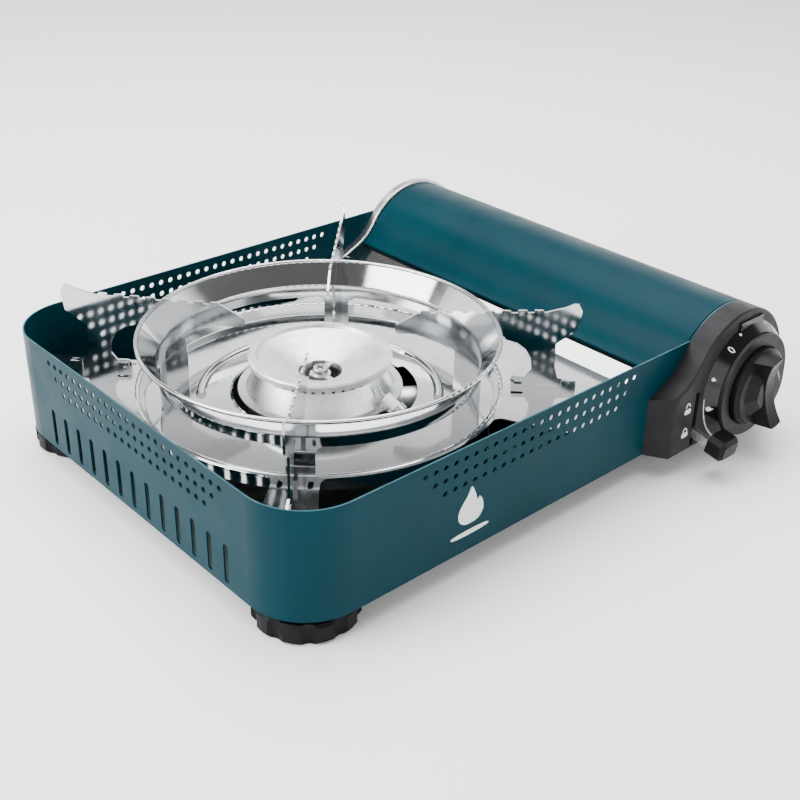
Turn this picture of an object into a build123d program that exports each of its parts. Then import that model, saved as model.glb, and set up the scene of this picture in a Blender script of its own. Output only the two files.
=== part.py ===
"""Portable single-burner gas stove with a cartridge bay beside the burner.

Working frame: X from the outer left wall, Y from the outer front wall, Z up from the table, in mm.
Every node is moved on export so that the origin is the middle of the overall box at table level.
"""
import os
from math import atan2, cos, degrees, radians, sin, sqrt, tan

from build123d import *

# Overall sizes
body_width = 332.0
body_depth = 250.0
wall_base = 12.3
wall_top = 69.2
corner_radius = 31.6
knob_reach = 35.5
cap_depth = 5.2

# Sheet and wall thicknesses
wall_t = 0.8
plate_t = 1.0
tray_t = 0.8
lid_t = 0.9
ring_t = 0.8
blade_t = 1.2
housing_t = 2.0

# Clearances
gap = 0.3
running = 0.05
tray_gap = 0.8
lid_end_gap = 0.6

# Cartridge bay profile
cap_step = 1.6
cap_wall = 1.6
lid_radius = 41.2
bay_z = 40.8
sweep_angle = 148.0
hollow_radius = 32.7
ramp_angle = 25.0
ramp_offset = 60.2
lid_edge_offset = 44.7
lid_foot_z = 15.0
body_face_x = body_width - cap_step
bay_x = body_face_x - lid_radius
ramp_x = bay_x - ramp_offset
lid_edge_x = bay_x - lid_edge_offset
cap_front = body_depth - wall_t - cap_depth

# Burner and tray
burner_x = 113.8
burner_y = body_depth / 2
tray_z = 46.5
dish_z = 40.4
dish_radius = 93.6
dish_fillet = 2.5
burner_hole = 45.6
burner_gap_radius = 51.0
burner_gap_start = -85.0
burner_gap_sweep = 75.0
notch_angle = -75.5
notch_width = 10.0
notch_reach = 60.0
rib_radius = 62.0
rib_width = 5.4
rib_height = 1.8
tray_edge_offset = 48.2
tray_edge_x = bay_x - tray_edge_offset
tray_flange = 11.0
tray_flange_rise = 4.8
hem_width = 3.2
hem_radius = dish_radius + hem_width
hem_drop = 6.0
tongue_half = 11.2
cut_outs = ((59, 129), (166, 219), (231, 295))
cut_out_corner = 5.0
drain_distance = 102.0
drain_offset = 7.0
post_radius = 3.0
post_distance = 118.0
ledge_width = 24.0

# Wind ring
ring_radius = 83.3
ring_rim_radius = 93.7
ring_bend_z = 61.4
ring_rim_z = 74.6
window_top = 55.3
leg_width = 14.0
bead_radius = 1.1

# Pan supports, distances from the burner axis
support_angles = (45, 135, 225, 315)
foot_inner = 99.0
foot_outer = 132.5
foot_top = 52.6
pan_z = 88.6
lip_z = 94.3
tip_radius = 38.6
tooth_pitch = 8.2
tooth_count = 8
ear_t = 1.0

# Burner
head_radius = 37.3
head_top = 61.4
head_base = 54.5
cone_radius = 11.4
cone_z = 51.0
slot_count = 40
slot_width = 1.6
bowl_radius = 38.0
flange_radius = 43.0
flange_z = 43.0
bowl_base = 19.0
bowl_t = 1.2
tube_radius = 8.0
tube_t = 1.0
tube_z = 28.0
jet_offset = 48.1
jet_y = 51.5
jet_length = 13.0
jet_x = bay_x - jet_offset
tube_angle = degrees(atan2(jet_y - burner_y, jet_x - burner_x))
tube_start = bowl_radius - 1.0
tube_end = sqrt((jet_x - burner_x) ** 2 + (jet_y - burner_y) ** 2) - jet_length
electrode_z = 49.4
electrode_slope = 30.0
ceramic_radius = 2.9
wire_radius = 0.6
igniter_offset = 22.2
igniter_x = bay_x - igniter_offset
plunger_z = 20.0
lead_y = 16.0
lead_z = 18.0

# Vents
hole_pitch = 6.2
row_pitch = 6.8
hole_radius = 1.5
top_row_z = 63.2
side_holes = 25
front_holes = 24
front_holes_x = 143.3
slot_rows = 13
slot_pitch = 12.74
vent_slot_width = 3.5
vent_slot_low = 14.9
vent_slot_high = 35.5

# Knob, dial and housing
knob_offset = 4.3
knob_x = bay_x + knob_offset
knob_z = 40.4
housing_depth = 12.7
housing_slant = 7.5
dial_radius = 34.5
collar_radius = 29.0
collar_reach = 21.0
skirt_radius = 22.0
grip_length = 42.8
grip_width = 8.5
grip_waist = 5.0
grip_tilt = 13.0
grip_dip = 5.0
scoop_radius = 48.0
facet_radius = 18.0
facet_height = 5.0
facet_taper = 55.0
stem_radius = 3.0

# Cartridge lever
lever_offset = 35.3
lever_x = bay_x - lever_offset
slot_low = 14.5
slot_high = 46.0
lever_slot_width = 3.4
lever_pivot_y = 30.0
lever_pivot_z = 30.0
lever_tilt = 10.0
lever_height = 5.0
lever_reach = 55.5
lever_tail = 12.0
cap_width = 15.5
cap_length = 10.5
cap_height = 12.0
pin_radius = 2.0
yoke_pin_height = 13.0
yoke_pin_radius = 1.5
yoke_arm_x = lever_x + 3.7
yoke_arm_t = 2.0

# Cartridge bay contents
cartridge_radius = 33.5
cartridge_z = 47.2
panel_y = 52.0
nose_radius = 8.0
yoke_gap = 2.0
yoke_t = 1.5
guide_radius = 2.0
saddle_places = (90.0, 175.0)
saddle_half = 21.5
hinge_x = body_face_x - 5.4
hinge_z = 25.0
hinge_clear = 12.5
hinge_radius = 2.0
partition_offset = 43.6
partition_x = bay_x - partition_offset

# Feet
foot_radius = 24.6
foot_height = 10.4
foot_inset = 26.0
foot_setback = 42.0
foot_gap = 0.3
right_foot_offset = 10.8
right_foot_x = bay_x + right_foot_offset
scallops = 10
scallop_radius = 5.0
stud_radius = 3.0
bush_radius = 4.6
bush_flange = 6.5
bush_flange_t = 0.6
bush_low = 8.0

floor_z = wall_base + plate_t
overall_shift = Vector(-body_width / 2, -(body_depth - knob_reach) / 2, 0)


def box(x0, x1, y0, y1, z0, z1):
    """A box between two corners."""
    size = Box(x1 - x0, y1 - y0, z1 - z0, align=(Align.MIN, Align.MIN, Align.MIN))
    return Pos(x0, y0, z0) * size


def rod(start, end, radius):
    """A round bar between two points."""
    direction = Vector(*end) - Vector(*start)
    circle = Plane(origin=Vector(*start), z_dir=direction) * Circle(radius)
    return extrude(circle, amount=direction.length)


def front_rod(x, z, y0, y1, radius):
    """A round bar along Y."""
    return rod((x, y0, z), (x, y1, z), radius)


def polar(radius, angle):
    """A point at a radius and an angle about the burner axis."""
    return burner_x + radius * cos(radians(angle)), burner_y + radius * sin(radians(angle))


def turned(outline):
    """A ring or disc turned about the burner axis from an (r, z) face."""
    return Pos(burner_x, burner_y, 0) * revolve(Plane.XZ * outline, Axis.Z)


def section(r0, r1, z0, z1):
    """An upright rectangle as (distance from an axis, height)."""
    return make_face(Polyline((r0, z0), (r1, z0), (r1, z1), (r0, z1), close=True))


def upright(outline, y0, y1):
    """An XZ face stretched from y0 to y1."""
    return Pos(0, y1, 0) * extrude(Plane.XZ * outline, amount=y1 - y0)


def wall_outline(inset):
    """The plan of the body, rounded at its two left corners."""
    corner = corner_radius - inset
    face = Rectangle(body_face_x - 2 * inset, body_depth - 2 * inset)
    left = face.vertices().sort_by(Axis.X)[:2]
    return Pos(body_face_x / 2, body_depth / 2) * fillet(left, corner)


def bay_face(offset, base=wall_base):
    """The end view of the cartridge bay, moved out by an offset."""
    top = lid_radius + offset
    hollow = hollow_radius - offset
    turn = radians(sweep_angle)
    ramp = radians(ramp_angle)
    join = (bay_x + top * cos(turn), bay_z + top * sin(turn))
    far = lid_radius + hollow_radius
    centre = (bay_x + far * cos(turn), bay_z + far * sin(turn))
    bottom = (centre[0] + hollow * sin(ramp), centre[1] - hollow * cos(ramp))
    steep = (radians(sweep_angle - 90) + ramp) / 2
    middle = (centre[0] + hollow * sin(steep), centre[1] - hollow * cos(steep))
    start_x = ramp_x - offset
    start = (start_x, bottom[1] - (bottom[0] - start_x) * tan(ramp))
    right = (bay_x + top, bay_z)
    crest = (bay_x, bay_z + top)
    edges = [
        Line((start_x, base), start),
        Line(start, bottom),
        ThreePointArc(bottom, middle, join),
        ThreePointArc(join, crest, right),
        Line(right, (right[0], base)),
        Line((right[0], base), (start_x, base)),
    ]
    return make_face(Wire(edges))


def vent_rows(count, centre, cut):
    """Three rows of holes, each row shorter by one hole at both ends."""
    holes = []
    for row in range(3):
        number = count - 2 * row
        for i in range(number):
            along = centre + (i - (number - 1) / 2) * hole_pitch
            holes.append(cut(along, top_row_z - row * row_pitch))
    return holes


def body_shell():
    """The painted wall, with its vents and the openings behind the knob housing."""
    tall = extrude(wall_outline(0) - wall_outline(wall_t), amount=wall_top)
    wall = tall & box(-1, body_width + 1, -1, body_depth + 1, wall_base, wall_top + 1)
    open_side = box(lid_edge_x, body_width + 1, wall_t, body_depth - wall_t, 0, wall_top + 1)
    meet_x = bay_x - sqrt(lid_radius**2 - (wall_top - bay_z) ** 2)
    ends = bay_face(0)
    wall = wall - open_side - box(meet_x, body_width + 1, -1, body_depth + 1, 0, wall_top + 1)
    for y in (0, body_depth - wall_t):
        wall += upright(ends, y, y + wall_t) & box(meet_x, body_width, -1, body_depth + 1, 0, 200)
    vents = vent_rows(side_holes, burner_y, lambda y, z: rod((-1, y, z), (2, y, z), hole_radius))
    vents += vent_rows(
        front_holes,
        front_holes_x,
        lambda x, z: front_rod(x, z, -1, body_depth + 1, hole_radius),
    )
    slot = SlotCenterToCenter(vent_slot_high - vent_slot_low - vent_slot_width, vent_slot_width)
    for i in range(slot_rows):
        y = burner_y + (i - (slot_rows - 1) / 2) * slot_pitch
        middle = (vent_slot_high + vent_slot_low) / 2
        plane = Plane(origin=(-1, y, middle), x_dir=(0, 0, 1), z_dir=(1, 0, 0))
        vents.append(extrude(plane * slot, amount=3))
    vents.append(front_rod(knob_x, knob_z, -1, 2, collar_radius - 8))
    half = lever_slot_width / 2 + 1
    vents.append(box(lever_x - half, lever_x + half, -1, 2, slot_low, slot_high))
    vents.append(front_rod(hinge_x, hinge_z, -1, 2, hinge_radius))
    return wall - vents


def base_plate():
    """The bottom sheet, with its turned-up edge and the holes for the foot bushes."""
    plate = Pos(0, 0, wall_base) * extrude(wall_outline(wall_t), amount=plate_t)
    lip = extrude(wall_outline(wall_t) - wall_outline(wall_t + plate_t), amount=4 * plate_t)
    bay = box(ramp_x - cap_step, body_width, 0, body_depth, floor_z, wall_top)
    plate += Pos(0, 0, wall_base) * lip - bay
    for x, y in foot_places():
        plate -= rod((x, y, 0), (x, y, wall_top), bush_radius)
    return plate


def foot_places():
    """Centres of the four feet."""
    return (
        (foot_inset, foot_inset),
        (foot_inset, body_depth - foot_inset),
        (right_foot_x, foot_setback),
        (right_foot_x, body_depth - foot_setback),
    )


def partition():
    """The wall between the burner space and the cartridge bay."""
    top = lid_under(partition_x) - 3.5
    y0 = wall_t + gap
    y1 = cap_front - gap
    sheet = box(partition_x, partition_x + plate_t, y0, y1, floor_z, top)
    sheet += box(partition_x - 9, partition_x, y0, y1, floor_z, floor_z + plate_t)
    holder_y = tube_point(tube_end + 9)[1]
    sheet -= box(partition_x - 10, partition_x, holder_y - 10, holder_y + 10, 0, floor_z + 2)
    under = tray_z - tray_t
    sheet += box(partition_x - ledge_width, partition_x, y0, y1, under - plate_t, under)
    for i in range(7):
        y = 95 + 20 * i
        sheet -= box(partition_x - 1, partition_x + 2, y, y + 12, 30, 36)
    across = (partition_x - burner_x) / cos(radians(tube_angle))
    y = tube_point(across)[1]
    sheet -= rod((partition_x - 3, y, tube_z), (partition_x + 3, y, tube_z), 3.5)
    sheet -= rod((partition_x - 3, lead_y, lead_z), (partition_x + 3, lead_y, lead_z), 2.5)
    return sheet


def lid_under(x):
    """Height of the bay profile at a given X on its left shoulder."""
    far = lid_radius + hollow_radius
    turn = radians(sweep_angle)
    centre = (bay_x + far * cos(turn), bay_z + far * sin(turn))
    return centre[1] - sqrt(hollow_radius**2 - (x - centre[0]) ** 2)


def lid():
    """The curved cover, with a hemmed edge and two hinge ears."""
    y0 = wall_t + lid_end_gap
    y1 = cap_front - lid_end_gap
    skin = upright(bay_face(0) - bay_face(-lid_t, wall_base - 5), y0, y1)
    keep = box(lid_edge_x, body_width, 0, body_depth, lid_foot_z, 200)
    skin = skin & keep
    edge_z = lid_under(lid_edge_x)
    hem = rod((lid_edge_x + 1, y0, edge_z - 0.9), (lid_edge_x + 1, y1, edge_z - 0.9), 1.3)
    cover = skin + hem
    face_x = bay_x + lid_radius
    for y in (y0, y1 - 2):
        ear = box(hinge_x, face_x - 0.3, y, y + 2, hinge_z - 4, hinge_z + 12)
        ear += front_rod(hinge_x, hinge_z, y, y + 2, 5.0)
        cover += ear & box(0, face_x - 0.3, 0, body_depth, lid_foot_z, 100)
    return cover - front_rod(hinge_x, hinge_z, 0, body_depth, hinge_radius + running)


def hinge_rod():
    """The rod that the lid turns on, held by the front wall and the rear end cap."""
    return front_rod(hinge_x, hinge_z, 0, cap_front + 2, hinge_radius)


def rear_cap():
    """The pressed end cap that closes the bay in front of the back wall."""
    back = body_depth - wall_t
    cap = upright(bay_face(cap_step, floor_z), cap_front, back)
    front = cap.faces().sort_by(Axis.Y)[0]
    cap = fillet(front.edges().filter_by(GeomType.CIRCLE), 1.0)
    cap -= upright(bay_face(cap_step - cap_wall, floor_z - 1), cap_front + cap_wall, back + 1)
    return cap - front_rod(hinge_x, hinge_z, cap_front - 1, back, hinge_radius)


def knob_housing():
    """The moulded housing in front of the valve, with the collar for the knob."""
    block = upright(bay_face(0), -housing_depth, 0)
    wedge_points = [
        (ramp_x - 10, 0),
        (ramp_x, 0),
        (ramp_x + housing_slant, -housing_depth),
        (ramp_x + housing_slant, -housing_depth - 5),
        (ramp_x - 10, -housing_depth - 5),
    ]
    wedge = extrude(make_face(Polyline(*wedge_points, close=True)), amount=200)
    block -= wedge
    front = block.faces().sort_by(Axis.Y)[0]
    block = chamfer(front.edges(), 1.1)
    hollow = upright(bay_face(-2 * housing_t, wall_base + housing_t), 2 - housing_depth, 1)
    hollow -= extrude(
        make_face(Polyline(*[(x + housing_t, y) for x, y in wedge_points], close=True)),
        amount=200,
    )
    block -= hollow
    inner = collar_radius - housing_t
    collar = front_rod(knob_x, knob_z, -collar_reach, -housing_depth + 0.5, collar_radius)
    block += collar
    block -= front_rod(knob_x, knob_z, 1 - collar_reach + 4, 1, inner)
    block -= front_rod(knob_x, knob_z, -collar_reach - 1, -collar_reach + 1.4, skirt_radius + 0.8)
    block -= front_rod(knob_x, knob_z, -collar_reach - 1, 1, stem_radius + running)
    half = lever_slot_width / 2
    return block - box(lever_x - half, lever_x + half, -housing_depth - 1, 1, slot_low, slot_high)


def dial_ring():
    """The sloping black ring around the collar, with a tab for the marks at its top."""
    slope = collar_reach - housing_depth - 2
    face = Plane(origin=(knob_x, -housing_depth, knob_z), x_dir=(1, 0, 0), z_dir=(0, -1, 0))
    taper = degrees(atan2(dial_radius - collar_radius - 0.8, slope))
    ring = extrude(face * Circle(dial_radius), amount=slope, taper=taper)
    tab = face * (Pos(0, dial_radius - 4) * Rectangle(20, 12))
    reach = Pos(knob_x, 0, knob_z) * upright(Circle(dial_radius + 4.5), -housing_depth - 2, 0)
    ring += extrude(tab, amount=1.2) & reach
    return ring - front_rod(knob_x, knob_z, -collar_reach - 1, 0, collar_radius + 0.1)


def knob():
    """The knob: a round skirt and a waisted grip bar."""
    skirt = front_rod(knob_x, knob_z, -collar_reach - 5, -collar_reach + 1.0, skirt_radius)
    rim = skirt.faces().sort_by(Axis.Y)[0]
    skirt = chamfer(rim.edges(), 2.2)
    half = grip_length / 2
    end = grip_width / 2
    waist = grip_waist / 2
    right = ThreePointArc((end, -half), (waist, 0), (end, half))
    left = ThreePointArc((-end, half), (-waist, 0), (-end, -half))
    bar = make_face(Wire([right, Line((end, half), (-end, half)), left, Line((-end, -half), (end, -half))]))
    face = Plane(origin=(0, -knob_reach, 0), z_dir=(0, 1, 0), x_dir=(1, 0, 0))
    grip = extrude(face * bar, amount=knob_reach - collar_reach - 1, taper=-14)
    grip = grip & front_rod(0, 0, -knob_reach, -collar_reach, half)
    scoop_y = -knob_reach + grip_dip - scoop_radius
    grip -= rod((-grip_width, scoop_y, 0), (grip_width, scoop_y, 0), scoop_radius)
    facets = Plane(origin=(0, -collar_reach - 4, 0), z_dir=(0, -1, 0)) * RegularPolygon(facet_radius, 8)
    grip += extrude(facets, amount=facet_height, taper=facet_taper)
    grip = Pos(knob_x, 0, knob_z) * (Rot(0, -grip_tilt, 0) * grip)
    solid = skirt + grip
    return solid - front_rod(knob_x, knob_z, -collar_reach - 1, -collar_reach + 2, stem_radius)


def valve_stem():
    """The stem between the knob and the valve, with a flat cam disc."""
    stem = front_rod(knob_x, knob_z, -collar_reach - 1, 16, stem_radius)
    return stem + front_rod(knob_x, knob_z, 2, 4, 7)


def regulator_body():
    """The cast valve and pressure regulator."""
    block = box(knob_x - 17, knob_x + 15, 14, 40, 26, 60)
    block = fillet(block.edges().filter_by(Axis.Y), 6)
    block += front_rod(bay_x, cartridge_z, 40, panel_y + 1, nose_radius + 4)
    block += box(knob_x - 12, knob_x + 12, 18, 34, floor_z, 26)
    block -= front_rod(knob_x, knob_z, 10, 17, stem_radius + running)
    return block - front_rod(bay_x, cartridge_z, 40, panel_y + 2, 3)


def regulator_cover():
    """The round diaphragm cover on the right of the regulator."""
    x0 = knob_x + 15
    cover = rod((x0, 27, 44), (x0 + 6, 27, 44), 12.5)
    return chamfer(cover.faces().sort_by(Axis.X)[-1].edges(), 1.5)


def inlet_seal():
    """The rubber seal that the cartridge's valve presses on."""
    ring = front_rod(bay_x, cartridge_z, panel_y + 1, panel_y + 3, nose_radius)
    return ring - front_rod(bay_x, cartridge_z, panel_y, panel_y + 4, 3)


def valve_panel():
    """The sheet across the bay that carries the regulator nose and the yoke guides."""
    x0 = partition_x + plate_t
    far = panel_y + 8
    sheet = upright(bay_face(-lid_t - 1.6, floor_z), panel_y, panel_y + plate_t)
    sheet = sheet & box(x0, body_width, 0, body_depth, floor_z, 200)
    sheet += box(x0 + 10, hinge_x - 14, panel_y, far, floor_z, floor_z + plate_t)
    sheet -= front_rod(bay_x, cartridge_z, panel_y - 1, panel_y + 2, nose_radius + 4)
    sheet -= front_rod(hinge_x, hinge_z, panel_y - 1, far, hinge_clear)
    sheet -= box(hinge_x, body_width, panel_y - 1, far, 0, hinge_z + hinge_clear)
    low, high = yoke_arm_heights()
    x1 = yoke_arm_x + yoke_arm_t
    return sheet - box(yoke_arm_x - 0.4, x1 + 0.4, panel_y - 1, far, low - 0.4, high + 0.4)


def guide_places():
    """Centres of the two yoke guides."""
    return (bay_x - 22, cartridge_z), (bay_x + 22, cartridge_z)


def yoke_guides():
    """Two headed pins that the yoke slides on."""
    pins = []
    for x, z in guide_places():
        pin = front_rod(x, z, panel_y + plate_t, panel_y + 14, guide_radius)
        pin += front_rod(x, z, panel_y + 14, panel_y + 15.5, guide_radius + 1.5)
        pins.append(pin)
    return Compound(children=pins)


def yoke_pin_place():
    """Y and Z of the lever's driving pin with the lever down."""
    turn = radians(lever_tilt)
    return lever_pivot_y - yoke_pin_height * sin(turn), lever_pivot_z + yoke_pin_height * cos(turn)


def yoke_arm_heights():
    """The lower and upper faces of the yoke's driving arm."""
    z = yoke_pin_place()[1]
    return z - 4, z + 4


def cartridge_yoke():
    """The plate that draws the cartridge's collar on to the valve, with its driving arm."""
    y0 = panel_y + plate_t + yoke_gap
    y1 = y0 + yoke_t
    plate = Pos(bay_x, 0, cartridge_z) * upright(RectangleRounded(54, 36, 5), y0, y1)
    plate -= front_rod(bay_x, cartridge_z, y0 - 1, y1 + 1, nose_radius + 5)
    plate -= box(bay_x - 9, bay_x + 9, y0 - 1, y1 + 1, cartridge_z, 100)
    for x, z in guide_places():
        plate -= front_rod(x, z, y0 - 1, y1 + 1, guide_radius + running)
    low, high = yoke_arm_heights()
    pin_y, pin_z = yoke_pin_place()
    plate += box(yoke_arm_x, bay_x - 25, y0, y1, low, high)
    arm = box(yoke_arm_x, yoke_arm_x + yoke_arm_t, pin_y - 4, y1, low, high)
    half = yoke_pin_radius + running
    arm -= box(0, body_width, pin_y - half, pin_y + half, pin_z - 2.2, pin_z + 2.2)
    return plate + arm


def cartridge_cradle():
    """Two saddles that the cartridge lies in."""
    saddles = []
    for y in saddle_places:
        saddle = box(bay_x - saddle_half, bay_x + saddle_half, y, y + 8, floor_z, 26)
        saddle -= front_rod(bay_x, cartridge_z, y - 1, y + 9, cartridge_radius + gap)
        saddles += list(saddle.solids())
    return Compound(children=saddles)


def lever_frame(shape):
    """Tilts a lever piece about the pivot to its locked position."""
    turn = Rot(lever_tilt, 0, 0)
    return Pos(lever_x, lever_pivot_y, lever_pivot_z) * (turn * shape)


def lever_arm():
    """The pressed lever: two strips joined at the pivot, and the pin that drives the yoke."""
    half = lever_height / 2
    arm = None
    for x0 in (-1.4, 0.6):
        strip = box(x0, x0 + 0.8, -lever_reach, lever_tail, -half, half)
        arm = strip if arm is None else arm + strip
    arm += box(-1.4, 1.4, -8, lever_tail, -half, half)
    arm += rod((-1.4, 0, 0), (1.4, 0, 0), 5)
    arm += box(-1.4, 1.4, -3, 3, 0, yoke_pin_height + 2.5)
    driver_end = yoke_arm_x + yoke_arm_t - lever_x + 0.3
    arm += rod((1.4, 0, yoke_pin_height), (driver_end, 0, yoke_pin_height), yoke_pin_radius)
    arm -= rod((-2, 0, 0), (2, 0, 0), pin_radius + running)
    return lever_frame(arm)


def lever_cap():
    """The moulded finger piece on the end of the lever."""
    start = -lever_reach - cap_length + 1
    block = box(-3.2, cap_width - 3.2, start, -lever_reach + 1, -cap_height / 2, cap_height / 2)
    block = chamfer(block.edges().filter_by(Axis.Y), 2.4)
    block = chamfer(block.faces().sort_by(Axis.Y)[0].edges(), 2.0)
    slot = box(-1.4, 1.4, -lever_reach, -lever_reach + 2, -lever_height / 2, lever_height / 2)
    return lever_frame(block - slot)


def lever_bracket():
    """The stand on the base plate that carries the lever pivot."""
    y = lever_pivot_y
    stand = box(lever_x - 2.9, lever_x + 2.9, y - 6, y + 6, floor_z, floor_z + 1.2)
    for x0 in (lever_x - 2.9, lever_x + 1.7):
        stand += box(x0, x0 + 1.2, y - 6, y + 6, floor_z, lever_pivot_z + 6)
    return stand - rod((lever_x - 5, y, lever_pivot_z), (lever_x + 5, y, lever_pivot_z), pin_radius)


def lever_pin():
    """The lever's pivot pin."""
    y = lever_pivot_y
    pin = rod((lever_x - 3.4, y, lever_pivot_z), (lever_x + 3.4, y, lever_pivot_z), pin_radius)
    return pin + rod((lever_x + 2.9, y, lever_pivot_z), (lever_x + 3.9, y, lever_pivot_z), 3)


def tube_point(distance):
    """A point on the mixing tube's axis, measured from the burner axis."""
    x = burner_x + distance * cos(radians(tube_angle))
    return x, burner_y + distance * sin(radians(tube_angle)), tube_z


def mixing_tube():
    """The air and gas tube with its flared mouth."""
    path = tube_point(tube_start), tube_point(tube_end)
    tube = rod(*path, tube_radius)
    mouth = tube_point(tube_end - 8), tube_point(tube_end)
    tube += rod(*mouth, tube_radius + 2.5)
    return tube - rod(tube_point(tube_start - 1), tube_point(tube_end + 1), tube_radius - tube_t)


def gas_jet():
    """The brass jet that faces the mixing tube's mouth."""
    jet = rod(tube_point(tube_end + 2), tube_point(tube_end + 6), 2.0)
    return jet + rod(tube_point(tube_end + 6), tube_point(tube_end + jet_length), 4.5)


def gas_tube():
    """The thin tube from the regulator to the jet."""
    start = Vector(*tube_point(tube_end + jet_length))
    direction = Vector(cos(radians(tube_angle)), sin(radians(tube_angle)), 0)
    crossing = Vector(*tube_point((burner_y - panel_y + 5) / sin(radians(-tube_angle))))
    port = Vector(knob_x - 17, 33, 34)
    corner_x = port.X - 10.5
    turn = Vector(corner_x, crossing.Y, tube_z)
    before = Vector(corner_x, port.Y, port.Z)
    path = FilletPolyline(start, crossing, turn, before, port, radius=3.5)
    plane = Plane(origin=start, z_dir=direction)
    return sweep(plane * Circle(1.6), path=path)


def jet_holder():
    """The upright on the base plate that holds the jet."""
    x, y, _ = tube_point(tube_end + 9)
    plate = Pos(x, y, 0) * (Rot(0, 0, tube_angle) * box(-0.6, 0.6, -7, 7, floor_z, tube_z + 7))
    foot_strip = Pos(x, y, 0) * (Rot(0, 0, tube_angle) * box(-8, 0.6, -7, 7, floor_z, floor_z + 1.2))
    return plate + foot_strip - rod(tube_point(tube_end), tube_point(tube_end + 20), 4.5)


def burner_bowl():
    """The pressed steel mixing chamber below the burner head."""
    neck = head_radius - 4.6
    shoulder = flange_z - 1
    outer = [
        (0, bowl_base),
        (bowl_radius - 6, bowl_base),
        (bowl_radius, bowl_base + 6),
        (bowl_radius, shoulder),
        (flange_radius, shoulder),
        (flange_radius, flange_z),
        (bowl_radius + 1, flange_z + 0.4),
        (neck, head_base),
        (neck - bowl_t, head_base),
        (bowl_radius - bowl_t, flange_z - 0.6),
        (bowl_radius - bowl_t, bowl_base + 6.4),
        (bowl_radius - 6.4, bowl_base + bowl_t),
        (0, bowl_base + bowl_t),
    ]
    bowl = turned(make_face(Polyline(*outer, close=True)))
    bowl -= rod(tube_point(tube_start - 8), tube_point(tube_start + 9), tube_radius)
    post = Pos(burner_x, burner_y, bowl_base + bowl_t) * Cylinder(
        5, cone_z - 6 - bowl_base - bowl_t, align=(Align.CENTER, Align.CENTER, Align.MIN)
    )
    return bowl + post


def burner_head():
    """The cast head: a dished top, a slotted skirt and a spoked centre."""
    neck = head_radius - 4.6
    outer = [
        (cone_radius, cone_z),
        (head_radius - 5, head_top - 1.6),
        (head_radius - 4, head_top),
        (head_radius - 0.8, head_top),
        (head_radius, head_top - 0.8),
        (head_radius, head_top - 3.0),
        (neck, head_base + 2.6),
        (neck, head_base),
        (neck - 2.4, head_base),
        (neck - 2.4, head_base + 1),
        (cone_radius, cone_z - 3.4),
    ]
    head = turned(make_face(Polyline(*outer, close=True)))
    step = 360 / slot_count
    half = slot_width / 2
    cutter = box(neck - 4, neck + 1, -half, half, head_base - 1, head_base + 2.4)
    slots = [Pos(burner_x, burner_y, 0) * (Rot(0, 0, i * step) * cutter) for i in range(slot_count)]
    head -= slots
    low = cone_z - 6
    hub = Pos(burner_x, burner_y, low) * Cylinder(
        5.5, 4.5, align=(Align.CENTER, Align.CENTER, Align.MIN)
    )
    for i in range(3):
        spoke = box(4, cone_radius + 1.5, -1.6, 1.6, cone_z - 3.2, cone_z - 1.6)
        hub += Pos(burner_x, burner_y, 0) * (Rot(0, 0, 30 + 120 * i) * spoke)
    return head + hub


def burner_screw():
    """The cross-head screw that holds the head on the bowl's post."""
    base = cone_z - 1.5
    screw = Pos(burner_x, burner_y, base) * Cylinder(
        4, 1.6, align=(Align.CENTER, Align.CENTER, Align.MIN)
    )
    dome = Pos(burner_x, burner_y, base + 1.6) * Sphere(4)
    screw += dome & Pos(burner_x, burner_y, base + 2.5) * Cylinder(4, 1.8)
    cross = Pos(burner_x, burner_y, base + 2.4) * Box(5, 1, 2.4)
    cross += Pos(burner_x, burner_y, base + 2.4) * Box(1, 5, 2.4)
    return screw - cross


def burner_stand():
    """A bridge from the base plate to the bowl."""
    top = bowl_base
    stand = Pos(burner_x, burner_y, top - 0.6) * Box(60, 20, 1.2)
    for side in (-1, 1):
        x = burner_x + side * 29.4
        stand += box(x - 0.6, x + 0.6, burner_y - 10, burner_y + 10, floor_z, top)
        edge = x + side * 5
        stand += box(min(x, edge), max(x, edge), burner_y - 10, burner_y + 10, floor_z, floor_z + 1.2)
    return stand


def electrode_point(radius):
    """A point on the electrode's axis at a distance from the burner axis."""
    x, y = polar(radius, notch_angle)
    return x, y, electrode_z - (radius - 39.3) * tan(radians(electrode_slope))


def electrode_ceramic():
    """The white insulator."""
    body = rod(electrode_point(54.0), electrode_point(41.2), ceramic_radius)
    return body - rod(electrode_point(55.0), electrode_point(40.0), wire_radius)


def electrode_wire():
    """The bare wire that the spark leaves from."""
    tip = polar(36.6, notch_angle)
    start = Vector(*electrode_point(54.0))
    bend = Vector(*electrode_point(38.6))
    wire = rod(start, bend, wire_radius) + Pos(bend) * Sphere(wire_radius)
    return wire + rod(bend, (tip[0], tip[1], electrode_z + 4), wire_radius)


def electrode_clip():
    """The bent strip that holds the insulator to the bowl's flange."""
    x, y, _ = electrode_point(49.5)
    a, b = polar(40.5, notch_angle)
    strip = rod(electrode_point(51.0), electrode_point(48.0), ceramic_radius + 1)
    strip -= rod(electrode_point(54.0), electrode_point(46.0), ceramic_radius)
    low = flange_z - 1.6
    arm = Pos((x + a) / 2, (y + b) / 2, low) * (Rot(0, 0, notch_angle) * Box(9, 5, 1.2))
    arm -= rod(electrode_point(60.0), electrode_point(30.0), ceramic_radius)
    return strip + arm


def lead_route():
    """Corner points of the ignition lead under the tray."""
    start = electrode_point(54.0)
    x, y = polar(62.0, notch_angle)
    return [
        start,
        (x, y, electrode_point(62.0)[2]),
        (burner_x + 50, lead_y + 24, lead_z + 4),
        (burner_x + 110, lead_y, lead_z),
        (igniter_x, lead_y, lead_z),
    ]


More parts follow.
